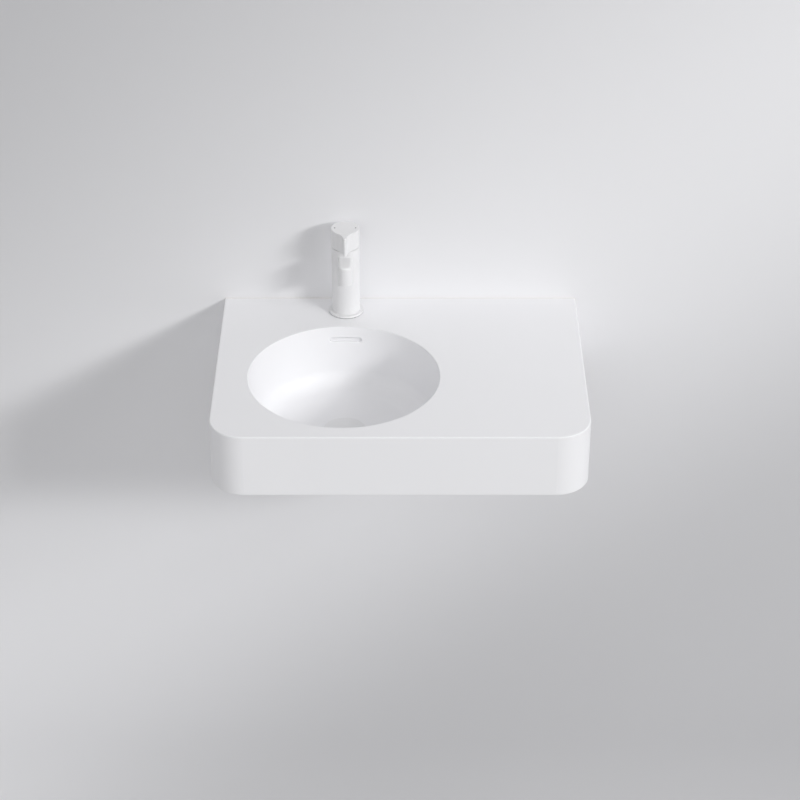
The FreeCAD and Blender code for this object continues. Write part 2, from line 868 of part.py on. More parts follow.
def fixed_disc():
    radius = cartridge_radius - cartridge_wall - fixed_disc_margin
    high = fixed_disc_z + disc_thickness
    return port_holes(cylinder(radius, fixed_disc_z, high), fixed_disc_z, high)


def moving_disc():
    """The disc that slides over the ports; a pocket in its face joins them."""
    disc = cylinder(moving_disc_radius, moving_disc_z, carrier_z)
    pocket_top = moving_disc_z + moving_disc_pocket_depth
    return disc.cut(cylinder(moving_disc_pocket_radius, moving_disc_z - overrun, pocket_top))


def disc_carrier():
    carrier = cylinder(moving_disc_radius, carrier_z, carrier_z + carrier_height)
    socket_z = carrier_z + carrier_height - carrier_socket_depth
    socket = cylinder(ball_radius + ball_clearance, socket_z, carrier_z + carrier_height + overrun)
    return carrier.cut(socket)


def cartridge_housing():
    housing = cylinder(cartridge_radius, fixed_disc_z, shoulder_z)
    housing = housing.fuse(cylinder(neck_radius, shoulder_z, neck_top_z))
    inner = cartridge_radius - cartridge_wall
    housing = housing.cut(cylinder(inner, fixed_disc_z - overrun, housing_roof_z))
    neck_bore = rotor_radius + rotor_running_clearance
    return housing.cut(cylinder(neck_bore, housing_roof_z - overrun, neck_top_z + overrun)).removeSplitter()


def rotor():
    """The turning guide: it carries the spindle's pin, and the spindle swings in its slot."""
    guide = cylinder(rotor_flange_radius, rotor_z, rotor_z + rotor_flange_height)
    guide = guide.fuse(cylinder(rotor_radius, rotor_z, neck_top_z))
    tilt = math.radians(handle_tilt_degrees)
    low = rotor_z - overrun
    high = neck_top_z + overrun

    def swing(height):
        return spindle_top_half_width / math.cos(tilt) + height * math.tan(tilt) + rotor_slot_clearance

    points = [
        (tap_y - swing(pivot_z - low), low),
        (tap_y - swing(0), pivot_z),
        (tap_y - swing(0), high),
        (tap_y + swing(high - pivot_z), high),
        (tap_y + swing(0), pivot_z),
        (tap_y + swing(0), low),
    ]
    guide = guide.cut(side_slab(points, spindle_top_half_width + rotor_slot_clearance))
    pin_hole = across(pin_radius, bowl_x - rotor_radius, bowl_x + rotor_radius, tap_y, pivot_z)
    return guide.cut(pin_hole).removeSplitter()


def spindle():
    """The lever inside: a ball below the pin and a square above it for the handle."""
    ball_z = pivot_z - ball_drop
    ball = Part.makeSphere(ball_radius, Vector(bowl_x, tap_y, ball_z))
    shaft = cylinder(spindle_shaft_radius, ball_z, pivot_z)
    half = spindle_top_half_width
    top = pivot_z + spindle_top_above_pivot
    middle = pivot_z - half
    square = block(bowl_x - half, bowl_x + half, tap_y - half, tap_y + half, middle, top)
    hole = across(pin_radius + pin_clearance, bowl_x - tap_radius, bowl_x + tap_radius, tap_y, pivot_z)
    return ball.fuse([shaft, square]).cut(hole).removeSplitter()


def spindle_pin():
    return across(pin_radius, bowl_x - pin_length / 2, bowl_x + pin_length / 2, tap_y, pivot_z)


def cartridge_nut():
    return ring(nut_radius, nut_bore_radius, shoulder_z, cover_z)


def cover_ring():
    """The domed ring that shows under the handle when the lever is lifted."""
    centre = Vector(bowl_x, tap_y, pivot_z)
    dome = Part.makeSphere(cover_radius, centre)
    dome = dome.cut(Part.makeSphere(cover_radius - cover_wall, centre))
    dome = dome.common(cylinder(cover_collar_radius, cover_z, pivot_z + cover_radius + overrun))
    dome = dome.fuse(cylinder(cover_collar_radius, cover_z, cover_z + cover_collar_height))
    opening = cylinder(cover_opening_radius, cover_z - overrun, pivot_z + cover_radius + overrun)
    return dome.cut(opening).removeSplitter()


# Handle


def handle_outline():
    """The handle from above: a round head that runs out in hollow curves to a narrow tip."""
    root_reach = math.sqrt(tap_radius ** 2 - lever_root_half_width ** 2)

    def at(half_width, reach):
        return Vector(bowl_x + half_width, tap_y - reach, handle_z)

    back = at(0, -tap_radius)
    tip_centre_reach = lever_reach - lever_tip_half_width
    flanks = []
    for side in (-1, 1):
        root = at(side * lever_root_half_width, root_reach)
        waist = at(side * lever_waist_half_width, lever_waist_reach)
        tip = at(side * lever_tip_half_width, tip_centre_reach)
        flanks.append((root, waist, tip))
    left, right = flanks
    return Part.Wire(
        [
            Part.Arc(*left).toShape(),
            Part.Arc(left[2], at(0, lever_reach), right[2]).toShape(),
            Part.Arc(*reversed(right)).toShape(),
            Part.Arc(right[0], back, left[0]).toShape(),
        ]
    )


def handle_relief():
    """What the handle's rear underside loses, so that it clears the body when the lever is up."""
    tilt = math.radians(handle_tilt_degrees)
    level = seam_z + handle_tilt_clearance - pivot_z

    def clear_height(reach):
        return pivot_z + (level - reach * math.sin(tilt)) / math.cos(tilt)

    far = -tap_radius - overrun
    start = (level - (handle_z - pivot_z) * math.cos(tilt)) / math.sin(tilt)
    points = [
        (tap_y - start, handle_z),
        (tap_y - far, clear_height(far)),
        (tap_y - far, handle_z - overrun),
        (tap_y - start, handle_z - overrun),
    ]
    return side_slab(points, tap_radius + overrun)


def handle():
    form = Part.Face(handle_outline()).extrude(Vector(0, 0, handle_top_z - handle_z))

    def top_rim(box):
        return near(box.ZMin, handle_top_z)

    form = form.makeFillet(handle_edge_round, edges_where(form, top_rim))
    roof_z = handle_top_z - handle_roof
    cavity = cylinder(tap_radius - handle_wall, handle_z - overrun, roof_z)
    hub = cylinder(hub_radius, pivot_z + hub_above_pivot, roof_z)
    form = form.cut(cavity.cut(hub))
    half = spindle_top_half_width + hub_square_clearance
    socket = block(
        bowl_x - half,
        bowl_x + half,
        tap_y - half,
        tap_y + half,
        pivot_z + hub_above_pivot - overrun,
        pivot_z + spindle_top_above_pivot,
    )
    hub_y = tap_y + hub_radius
    outside_y = tap_y + tap_radius + overrun
    screw_hole = through_wall(handle_screw_hole_radius, hub_y, outside_y, bowl_x, handle_screw_z)
    screw_thread = through_wall(handle_screw_radius + thread_clearance, tap_y, hub_y, bowl_x, handle_screw_z)
    form = form.cut([socket, screw_hole, screw_thread, handle_relief()])
    for x in mark_xs().values():
        pocket = cylinder(mark_radius + mark_clearance, handle_top_z - mark_depth, handle_top_z + overrun, x)
        form = form.cut(pocket)
    return form.removeSplitter()


def handle_screw():
    start = tap_y + spindle_top_half_width
    return through_wall(handle_screw_radius, start, start + handle_screw_length, bowl_x, handle_screw_z)


def screw_plug():
    radius = handle_screw_hole_radius - screw_plug_clearance
    outside = tap_y + math.sqrt(tap_radius ** 2 - handle_screw_hole_radius ** 2)
    return through_wall(radius, outside - screw_plug_length, outside, bowl_x, handle_screw_z)


def mark_xs():
    return {"hot": bowl_x - mark_from_axis, "cold": bowl_x + mark_from_axis}


def mark(x):
    return cylinder(mark_radius, handle_top_z - mark_depth, handle_top_z, x)


def pieces():
    made = {
        "basin_body": basin_body(),
        "waste_body": waste_body(),
        "waste_gasket": waste_gasket(),
        "under_seal": under_seal(),
        "under_washer": under_washer(),
        "backnut": backnut(),
        "plug_cap": plug_cap(),
        "plug_seal": plug_seal(),
        "plug_stem": plug_stem(),
        "click_sleeve": click_sleeve(),
        "click_spring": click_spring(),
        "tap_body": tap_body(),
        "base_gasket": base_gasket(),
        "base_ring": base_ring(),
        "clamp_gasket": clamp_gasket(),
        "clamp_washer": clamp_washer(),
        "clamp_stud": clamp_stud(),
        "clamp_nut": clamp_nut(),
        "aerator_housing": aerator_housing(),
        "aerator_insert": aerator_insert(),
        "aerator_seal": aerator_seal(),
        "cartridge_base_seals": cartridge_base_seals(),
        "cartridge_base": cartridge_base(),
        "fixed_disc": fixed_disc(),
        "moving_disc": moving_disc(),
        "disc_carrier": disc_carrier(),
        "cartridge_housing": cartridge_housing(),
        "rotor": rotor(),
        "spindle": spindle(),
        "spindle_pin": spindle_pin(),
        "cartridge_nut": cartridge_nut(),
        "cover_ring": cover_ring(),
        "handle": handle(),
        "handle_screw": handle_screw(),
        "screw_plug": screw_plug(),
    }
    for side, x in fixing_xs().items():
        made["fixing_bush_" + side] = fixing_bush(x)
        made["fixing_washer_" + side] = fixing_washer(x)
    for name, x in mark_xs().items():
        made[name + "_mark"] = mark(x)
    return made


os.makedirs("parts", exist_ok=True)
for name, shape in pieces().items():
    shape.exportStep("parts/" + name + ".step")
    print(name, len(shape.Solids), "solid, valid", shape.isValid(), "volume", round(shape.Volume))
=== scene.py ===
# %% [markdown]
# A wall-hung basin, dressed for the camera.
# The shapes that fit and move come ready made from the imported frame.
# This lesson gives them their finishes and models what the frame leaves plain: two threads,
# the honeycomb in the tap's mouth and a strip behind the overflow slot.
# It also sets up a pale studio wall, soft light and a camera.

# %% Load the frame
import json
import math

import bpy
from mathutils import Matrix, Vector


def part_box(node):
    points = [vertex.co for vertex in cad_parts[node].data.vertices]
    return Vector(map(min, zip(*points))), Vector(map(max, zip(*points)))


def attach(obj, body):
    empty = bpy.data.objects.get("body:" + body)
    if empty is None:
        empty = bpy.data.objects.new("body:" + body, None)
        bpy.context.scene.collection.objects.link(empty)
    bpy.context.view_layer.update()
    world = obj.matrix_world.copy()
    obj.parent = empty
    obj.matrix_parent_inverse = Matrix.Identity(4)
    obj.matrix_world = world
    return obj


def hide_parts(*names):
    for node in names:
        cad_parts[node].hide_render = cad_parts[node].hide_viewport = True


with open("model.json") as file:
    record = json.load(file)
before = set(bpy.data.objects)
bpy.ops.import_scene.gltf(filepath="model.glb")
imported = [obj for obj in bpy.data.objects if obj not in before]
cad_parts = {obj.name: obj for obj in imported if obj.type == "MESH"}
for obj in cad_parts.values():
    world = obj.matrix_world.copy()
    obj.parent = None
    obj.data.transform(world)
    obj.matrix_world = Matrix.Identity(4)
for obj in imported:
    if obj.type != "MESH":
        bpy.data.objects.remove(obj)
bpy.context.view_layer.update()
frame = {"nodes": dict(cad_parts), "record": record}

nodes = frame["nodes"]

# %% [markdown]
# Blender counts in metres and a drawing in millimetres, so one value turns one into the other.
# Colours are picked as the hex values that a screen shows.
# The renderer wants linear light instead, and the function below turns one into the other.
# Faces that meet at less than 30 degrees are shaded as one curve on the sheet, the threaded pieces and
# the rim of the comb.

# %% Units and colours
MM = 0.001
smooth_angle = math.radians(30)


def linear(hex_colour):
    """The linear colour, with alpha, of an sRGB hex value such as #E8E6E0."""
    channels = [int(hex_colour[start:start + 2], 16) / 255 for start in (1, 3, 5)]
    return tuple(c / 12.92 if c <= 0.04045 else ((c + 0.055) / 1.055) ** 2.4 for c in channels) + (1.0,)


print("a mid grey of #808080 is", round(linear("#808080")[0], 3), "in linear light")

# %% [markdown]
# The pieces are placed by the frame, so the main lines of the basin are read from it.
# The plug sits on the bowl's axis and gives its middle. The bowl hangs lower than the skirt,
# so the skirt's foot is counted down from the deck.

# %% Places read from the frame


def middle(node):
    """The middle of a node's box."""
    low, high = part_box(node)
    return (low + high) / 2


def radius(node):
    """Half of a round node's width."""
    low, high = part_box(node)
    return (high.x - low.x) / 2


skirt_height = 100 * MM
top_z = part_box("basin_body")[1].z
foot_z = top_z - skirt_height
bowl_axis = middle("plug_cap")
print("top at", round(top_z, 3), "foot at", round(foot_z, 3), "bowl axis at", tuple(bowl_axis.xy))

# %% [markdown]
# The camera looks down at the middle of the basin from well in front of the wall.
# A long lens from three metres away keeps the basin's upright edges nearly parallel, as in a catalogue.

# %% Camera
camera_from_wall = 3.040
camera_above_top = 1.730
camera_pitch = math.radians(32.27)
lens_mm = 100
film_mm = 36

camera_data = bpy.data.cameras.new("camera")
camera_data.lens = lens_mm
camera_data.sensor_width = film_mm
camera = bpy.data.objects.new("camera", camera_data)
camera.location = (0, -camera_from_wall, top_z + camera_above_top)
camera.rotation_euler = (math.radians(90) - camera_pitch, 0, 0)
bpy.context.scene.collection.objects.link(camera)
bpy.context.scene.camera = camera
bpy.context.scene.view_settings.view_transform = "Standard"
print("camera at", tuple(round(v, 3) for v in camera.location))

# %% [markdown]
# A finish is a small graph of nodes. The first function below adds one node, sets its values
# and links it, and every node in this lesson is made with it. The last one closes a graph and keeps
# the finish under the name of its slot.
# A Mix node has hidden sockets of the same names, so its two colours are reached by number.

# %% Helpers for the finishes
COLOUR_A, COLOUR_B, MIXED = 6, 7, 2


def add(material, kind, settings=None, links=None):
    """Adds a node. A lower-case name sets a property, and any other name or number sets a socket."""
    tree = material.node_tree
    node = tree.nodes.new(kind)
    for name, value in (settings or {}).items():
        if isinstance(name, str) and name.islower():
            setattr(node, name, value)
        else:
            node.inputs[name].default_value = value
    for name, source in (links or {}).items():
        tree.links.new(source, node.inputs[name])
    return node


def new_material(name):
    """An empty node material with its output, and the Object coordinates that its patterns follow."""
    material = bpy.data.materials.new(name)
    material.use_nodes = True
    material.node_tree.nodes.clear()
    output = add(material, "ShaderNodeOutputMaterial")
    where = add(material, "ShaderNodeTexCoord")
    return material, output.inputs["Surface"], where.outputs["Object"]


def grain(size_mm):
    """The pattern scale at which one grain is size_mm across."""
    return 1 / (size_mm * MM)


finishes = {}


def keep(slot, material, shader, surface):
    """Links the shader to the material's surface and keeps the material for its slot."""
    material.node_tree.links.new(shader.outputs["BSDF"], surface)
    finishes[slot] = material
    print("finish:", material.name)


print("a grain of 2 mm is a scale of", grain(2))

# %% [markdown]
# The set is one pale sheet: a wall that bends into a floor, so that no line crosses the picture.
# It starts as a plane at the wall, whose lower edge is spun forward into the bend and then drawn out
# into the floor.

# %% Studio sheet
sheet_gap = 0.5 * MM
sheet_width = 8.0
sheet_top = 3.0
sheet_depth = 4.5
floor_z = -1.35
bend_radius = 0.5
bend_steps = 24


def pick(piece, test):
    """Selects, in edit mode, the vertices that pass the test, with the edges and faces between them."""
    bpy.ops.mesh.select_mode(type="VERT")
    bpy.ops.mesh.select_all(action="DESELECT")
    bpy.ops.object.mode_set(mode="OBJECT")
    for vertex in piece.data.vertices:
        vertex.select = test(vertex.co)
    bpy.ops.object.mode_set(mode="EDIT")


bpy.ops.object.select_all(action="DESELECT")
bend_z = floor_z + bend_radius
bpy.ops.mesh.primitive_plane_add(size=1, rotation=(math.radians(90), 0, 0))
sheet = bpy.context.object
sheet.name = "studio_sheet"
sheet.scale = (sheet_width, sheet_top - bend_z, 1)
sheet.location = (0, sheet_gap, (sheet_top + bend_z) / 2)
bpy.ops.object.transform_apply(location=True, rotation=True, scale=True)
bpy.ops.object.mode_set(mode="EDIT")
pick(sheet, lambda co: co.z < bend_z + MM)
bpy.ops.mesh.spin(
    steps=bend_steps, angle=math.radians(90),
    center=(0, sheet_gap - bend_radius, bend_z), axis=(1, 0, 0),
)
pick(sheet, lambda co: co.z < floor_z + MM)
bpy.ops.mesh.extrude_edges_move(TRANSFORM_OT_translate={"value": (0, -sheet_depth, 0)})
bpy.ops.object.mode_set(mode="OBJECT")
sheet_low = min(vertex.co.z for vertex in sheet.data.vertices)
sheet_front = min(vertex.co.y for vertex in sheet.data.vertices)
print("sheet from the wall to y", round(sheet_front, 2), "and down to z", round(sheet_low, 2))

# %% [markdown]
# The sheet takes shadows and gives light back, but throws no shadow itself, so that a lamp behind it
# reaches the back of the basin. Behind the basin it has a hole, or that back would stay black.
# Four cuts divide the sheet along the sides of the hole, and the face between them is taken out.

# %% Hole behind the basin
hole_margin = 1 * MM
sides_of_hole = ((1, 0, 0), (0, 0, 1))
weld_within = 0.01 * MM

basin_low, basin_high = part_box("basin_body")
hole_low = Vector((basin_low.x + hole_margin, 0, foot_z + hole_margin))
hole_high = Vector((basin_high.x - hole_margin, 0, top_z - hole_margin))
bpy.ops.object.mode_set(mode="EDIT")
for corner in (hole_low, hole_high):
    for across in sides_of_hole:
        bpy.ops.mesh.select_all(action="SELECT")
        bpy.ops.mesh.bisect(plane_co=corner, plane_no=across)
pick(sheet, lambda co: all(hole_low[way] - MM < co[way] < hole_high[way] + MM for way in (0, 2)))
bpy.ops.mesh.delete(type="FACE")
bpy.ops.mesh.select_all(action="SELECT")
bpy.ops.mesh.remove_doubles(threshold=weld_within)
bpy.ops.object.mode_set(mode="OBJECT")
bpy.ops.object.shade_smooth_by_angle(angle=smooth_angle)
sheet.visible_shadow = False
print("a hole of", tuple(round(v, 3) for v in (hole_high - hole_low).xz), "m, and the wall faces",
      tuple(round(v, 2) for v in sheet.data.polygons[0].normal))

# %% [markdown]
# Painted paper is matt, so the sheet has a diffuse shader alone.
# A studio sheet is never lit evenly: a pale band of light runs across it from the lower left to the
# upper right, and both other corners lie in shade. That light and shade is painted into the sheet's
# colour, along a slanted line over the wall.
# From behind, the sheet is clear, so that a camera behind the wall sees the back of the basin.

# %% Sheet finish
band_slope = math.radians(37)
# The tones of the painted band of light and of the painted shade in the corners, by place along the
# slant.
painted_light_shades = {
    -1.20: "#C7C7C9",
    -0.90: "#CDCDCF",
    -0.60: "#CACACC",
    -0.35: "#E4E4E6",
    -0.05: "#F5F5F7",
    0.35: "#E3E3E5",
    0.80: "#C4C4C6",
}
ramp_from, ramp_to = min(painted_light_shades), max(painted_light_shades)

paint, surface, where = new_material("matt_paper_painted_light_band")
slant = add(paint, "ShaderNodeVectorMath", {
    "operation": "DOT_PRODUCT",
    1: (-math.sin(band_slope), 0, math.cos(band_slope)),
}, {0: where})
along = add(paint, "ShaderNodeMapRange", {
    "From Min": ramp_from,
    "From Max": ramp_to,
}, {"Value": slant.outputs["Value"]})
shades = add(paint, "ShaderNodeValToRGB", links={"Fac": along.outputs["Result"]})
shades.color_ramp.interpolation = "B_SPLINE"
stops = shades.color_ramp.elements
places = sorted(painted_light_shades)
for place in places[1:-1]:
    stops.new((place - ramp_from) / (ramp_to - ramp_from))
for stop, place in zip(stops, places):
    stop.color = linear(painted_light_shades[place])
front = add(paint, "ShaderNodeBsdfDiffuse", links={"Color": shades.outputs["Color"]})
clear = add(paint, "ShaderNodeBsdfTransparent")
side = add(paint, "ShaderNodeNewGeometry")
seen = add(paint, "ShaderNodeMixShader", links={
    0: side.outputs["Backfacing"], 1: front.outputs["BSDF"], 2: clear.outputs["BSDF"],
})
paint.node_tree.links.new(seen.outputs["Shader"], surface)
sheet.data.materials.append(paint)
print("shades on the sheet:", [(round(s.position, 2), round(s.color[0], 2)) for s in stops])

# %% [markdown]
# Soft light from large lamps suits a matt white object. Three long low boxes at the right make the key,
# with the shadow on the wall that fades out to the left. The fills keep the dark side and the bowl
# open, and the one behind the sheet reaches nothing but the back. A lamp's turn and height are degrees
# round and above the basin, and its level is the brightness it gives a white face that looks straight
# at it. That is its watts over the square of pi times its distance, and the loop works back from it.

# %% Lamps
lamps = {
    "key": {"turn": 48, "height": 24, "wide": 2.0, "tall": 0.7, "level": 0.37},
    "key side": {"turn": 68, "height": 24, "wide": 2.4, "tall": 0.7, "level": 0.06},
    "key high": {"turn": 58, "height": 32, "wide": 2.4, "tall": 0.7, "level": 0.08},
    "front fill": {"turn": 0, "height": 25, "wide": 5.0, "tall": 5.0, "level": 0.08},
    "left fill": {"turn": -30, "height": 20, "wide": 6.0, "tall": 6.0, "level": 0.115},
    "top fill": {"turn": 0, "height": 82, "wide": 4.0, "tall": 4.0, "level": 0.095},
    "back fill": {"turn": 180, "height": -18, "wide": 5.0, "tall": 5.0, "level": 0.35},
}
aim = Vector((0, -0.2, 0.05))
lamp_away = 8.0
for name, lamp in lamps.items():
    turn = math.radians(lamp["turn"])
    height = math.radians(lamp["height"])
    flat = math.cos(height)
    towards = Vector((math.sin(turn) * flat, -math.cos(turn) * flat, math.sin(height)))
    lamp_data = bpy.data.lights.new(name, "AREA")
    lamp_data.shape = "RECTANGLE"
    lamp_data.size = lamp["wide"]
    lamp_data.size_y = lamp["tall"]
    lamp_data.energy = lamp["level"] * math.pi ** 2 * lamp_away ** 2
    made = bpy.data.objects.new(name, lamp_data)
    made.location = aim + towards * lamp_away
    made.rotation_mode = "QUATERNION"
    made.rotation_quaternion = towards.to_track_quat("Z", "Y")
    bpy.context.scene.collection.objects.link(made)
print("lamps:", ", ".join(lamps))

# %% [markdown]
# The world gives an even light from all sides. The camera and the shine on a surface see it brighter
# than it lights, so that what lies past the sheet looks like the pale room round the set.

# %% World
world_level = 0.315
world_seen = 0.8

world = bpy.data.worlds.new("studio")
bpy.context.scene.world = world
world.use_nodes = True
world.node_tree.nodes.clear()
ray = add(world, "ShaderNodeLightPath")
seen_ray = add(world, "ShaderNodeMath", {"operation": "MAXIMUM"}, {
    0: ray.outputs["Is Camera Ray"], 1: ray.outputs["Is Glossy Ray"],
})
strength = add(world, "ShaderNodeMapRange", {"To Min": world_level, "To Max": world_seen}, {
    0: seen_ray.outputs[0],
})
sky = add(world, "ShaderNodeBackground", {"Color": linear("#FFFFFF")}, {
    "Strength": strength.outputs[0],
})
add(world, "ShaderNodeOutputWorld", links={"Surface": sky.outputs[0]})
print("the world lights at", world_level, "and shows at", world_seen)

# %% [markdown]
# The basin is fireclay with a matt white glaze, sprayed on and fired.
# The glaze is smooth to the touch, but its face waves very slightly and its sheen changes a little
# from place to place, because it melts unevenly in the kiln.
# The back, which meets the wall, and the foot of the skirt, which stood on the kiln shelf, stay bare:
# there the fired clay shows, creamier, dull and gritty. Depth tells the shader where the back is,
# and the foot is what faces down at the height of the skirt's end.

# %% Matt glazed fireclay
glaze_wave_mm = 40
glaze_tone_mm = 150
clay_grit_mm = 1.5
bare_edge = 0.4 * MM
facing_down = -0.95

material, surface, where = new_material("matt_glazed_fireclay")
wave = add(material, "ShaderNodeTexNoise", {"Scale": grain(glaze_wave_mm), "Detail": 2}, {
    "Vector": where,
})
tone = add(material, "ShaderNodeTexNoise", {"Scale": grain(glaze_tone_mm), "Detail": 1}, {
    "Vector": where,
})
grit = add(material, "ShaderNodeTexNoise", {"Scale": grain(clay_grit_mm), "Detail": 4}, {
    "Vector": where,
})
place = add(material, "ShaderNodeSeparateXYZ", links={0: where})
back = add(material, "ShaderNodeMath", {"operation": "GREATER_THAN", 1: -bare_edge}, {
    0: place.outputs["Y"],
})
level = add(material, "ShaderNodeMath", {"operation": "COMPARE", 1: foot_z, 2: bare_edge}, {
    0: place.outputs["Z"],
})
facing = add(material, "ShaderNodeNewGeometry")
turned = add(material, "ShaderNodeSeparateXYZ", links={0: facing.outputs["True Normal"]})
down = add(material, "ShaderNodeMath", {"operation": "LESS_THAN", 1: facing_down}, {
    0: turned.outputs["Z"],
})
foot = add(material, "ShaderNodeMath", {"operation": "MULTIPLY"}, {
    0: level.outputs[0], 1: down.outputs[0],
})
bare = add(material, "ShaderNodeMath", {"operation": "MAXIMUM"}, {
    0: back.outputs[0], 1: foot.outputs[0],
})
glaze_colour = add(material, "ShaderNodeMix", {
    "data_type": "RGBA", COLOUR_A: linear("#F2F2F4"), COLOUR_B: linear("#F4F4F6"),
}, {0: tone.outputs["Fac"]})
clay_colour = add(material, "ShaderNodeMix", {
    "data_type": "RGBA", COLOUR_A: linear("#D9CFBF"), COLOUR_B: linear("#EAE2D4"),
}, {0: grit.outputs["Fac"]})
colour = add(material, "ShaderNodeMix", {"data_type": "RGBA"}, {
    0: bare.outputs[0], COLOUR_A: glaze_colour.outputs[MIXED], COLOUR_B: clay_colour.outputs[MIXED],
})
glaze_sheen = add(material, "ShaderNodeMapRange", {"To Min": 0.46, "To Max": 0.54}, {
    0: tone.outputs["Fac"],
})
sheen = add(material, "ShaderNodeMath", {"operation": "MAXIMUM"}, {
    0: glaze_sheen.outputs[0], 1: bare.outputs[0],
})
glaze_bump = add(material, "ShaderNodeBump", {"Strength": 0.35, "Distance": 0.25 * MM}, {
    "Height": wave.outputs["Fac"],
})
clay_depth = add(material, "ShaderNodeMath", {"operation": "MULTIPLY"}, {
    0: bare.outputs[0], 1: grit.outputs["Fac"],
})
clay_bump = add(material, "ShaderNodeBump", {"Strength": 0.6, "Distance": 0.3 * MM}, {
    "Height": clay_depth.outputs[0], "Normal": glaze_bump.outputs["Normal"],
})
shader = add(material, "ShaderNodeBsdfPrincipled", {"IOR": 1.5}, {
    "Base Color": colour.outputs[MIXED], "Roughness": sheen.outputs[0],
    "Normal": clay_bump.outputs["Normal"],
})
keep("matt_white_ceramic", material, shader, surface)

# %% [markdown]
# The tap's outer parts are cast brass, sprayed with a white lacquer and baked.
# Sprayed lacquer levels well but not fully: at a very flat angle it shows a fine dimple like the skin
# of an orange, about a millimetre across, and it is silkier than the glaze of the basin.

# %% White lacquer
peel_mm = 1.1
lacquer_tone_mm = 25

material, surface, where = new_material("white_lacquered_brass")
peel = add(material, "ShaderNodeTexNoise", {"Scale": grain(peel_mm), "Detail": 1}, {"Vector": where})
tone = add(material, "ShaderNodeTexNoise", {"Scale": grain(lacquer_tone_mm), "Detail": 2}, {
    "Vector": where,
})
colour = add(material, "ShaderNodeMix", {
    "data_type": "RGBA", COLOUR_A: linear("#EAEAEB"), COLOUR_B: linear("#EDEDEE"),
}, {0: tone.outputs["Fac"]})
sheen = add(material, "ShaderNodeMapRange", {"To Min": 0.30, "To Max": 0.38}, {
    0: tone.outputs["Fac"],
})
bump = add(material, "ShaderNodeBump", {"Strength": 0.25, "Distance": 0.02 * MM}, {
    "Height": peel.outputs["Fac"],
})
shader = add(material, "ShaderNodeBsdfPrincipled", {"IOR": 1.5}, {
    "Base Color": colour.outputs[MIXED], "Roughness": sheen.outputs[0],
    "Normal": bump.outputs["Normal"],
})
keep("white_lacquer", material, shader, surface)

# %% [markdown]
# The waste fitting and the spout's mouthpiece are brass with a nickel and chrome plating.
# Chrome is a hard bright mirror with a cold tint. Wiping and limescale leave faint cloudy patches,
# so its roughness wanders between nearly polished and lightly dulled.

# %% Chrome plating
wipe_mm = 6

material, surface, where = new_material("chrome_plated_brass")
clouds = add(material, "ShaderNodeTexNoise", {"Scale": grain(wipe_mm), "Detail": 3}, {
    "Vector": where,
})
colour = add(material, "ShaderNodeMix", {
    "data_type": "RGBA", COLOUR_A: linear("#D8DADD"), COLOUR_B: linear("#E4E5E7"),
}, {0: clouds.outputs["Fac"]})
sheen = add(material, "ShaderNodeMapRange", {"To Min": 0.08, "To Max": 0.22}, {
    0: clouds.outputs["Fac"],
})
shader = add(material, "ShaderNodeBsdfPrincipled", {"Metallic": 1}, {
    "Base Color": colour.outputs[MIXED], "Roughness": sheen.outputs[0],
})
keep("plated_brass", material, shader, surface)

# %% [markdown]
# Nuts and sleeves that nobody sees are plain brass, turned on a lathe and left as cut.
# The tool leaves fine rings around the piece, and the metal darkens in patches as it ages.
# A noise that is squeezed along the height gives rings at any radius.
# Real tool marks are about 0.1 mm apart; they are drawn at half a millimetre so that they show.

# %% Turned brass
tool_mark_mm = 0.5
mark_stretch = 0.02
tarnish_mm = 9

material, surface, where = new_material("turned_brass")
squeezed = add(material, "ShaderNodeMapping", {"Scale": (mark_stretch, mark_stretch, 1)}, {
    "Vector": where,
})
rings = add(material, "ShaderNodeTexNoise", {"Scale": grain(tool_mark_mm), "Detail": 2}, {
    "Vector": squeezed.outputs["Vector"],
})
tarnish = add(material, "ShaderNodeTexNoise", {"Scale": grain(tarnish_mm), "Detail": 4}, {
    "Vector": where,
})
colour = add(material, "ShaderNodeMix", {
    "data_type": "RGBA", COLOUR_A: linear("#C6A667"), COLOUR_B: linear("#E2C98B"),
}, {0: tarnish.outputs["Fac"]})
sheen = add(material, "ShaderNodeMapRange", {"To Min": 0.22, "To Max": 0.42}, {
    0: rings.outputs["Fac"],
})
bump = add(material, "ShaderNodeBump", {"Strength": 0.4, "Distance": 0.05 * MM}, {
    "Height": rings.outputs["Fac"],
})
shader = add(material, "ShaderNodeBsdfPrincipled", {"Metallic": 1}, {
    "Base Color": colour.outputs[MIXED], "Roughness": sheen.outputs[0],
    "Normal": bump.outputs["Normal"],
})
keep("brass", material, shader, surface)

# %% [markdown]
# Stud, washers, spindle and spring are steel with a zinc plating.
# Zinc is a soft grey metal: it scatters light in small crystal patches that differ a little.
# A cell pattern of about 3 mm gives the patches, and a fine noise gives the dull grain between them.

# %% Zinc plated steel
crystal_mm = 3
zinc_grain_mm = 0.6

material, surface, where = new_material("zinc_plated_steel")
crystals = add(material, "ShaderNodeTexVoronoi", {"Scale": grain(crystal_mm)}, {"Vector": where})
dull = add(material, "ShaderNodeTexNoise", {"Scale": grain(zinc_grain_mm), "Detail": 3}, {
    "Vector": where,
})
patch = add(material, "ShaderNodeSeparateColor", links={0: crystals.outputs["Color"]})
colour = add(material, "ShaderNodeMix", {
    "data_type": "RGBA", COLOUR_A: linear("#B9BDC1"), COLOUR_B: linear("#D0D3D6"),
}, {0: patch.outputs[0]})
sheen = add(material, "ShaderNodeMapRange", {"To Min": 0.28, "To Max": 0.48}, {
    0: dull.outputs["Fac"],
})
bump = add(material, "ShaderNodeBump", {"Strength": 0.3, "Distance": 0.03 * MM}, {
    "Height": dull.outputs["Fac"],
})
shader = add(material, "ShaderNodeBsdfPrincipled", {"Metallic": 1}, {
    "Base Color": colour.outputs[MIXED], "Roughness": sheen.outputs[0],
    "Normal": bump.outputs["Normal"],
})
keep("steel", material, shader, surface)

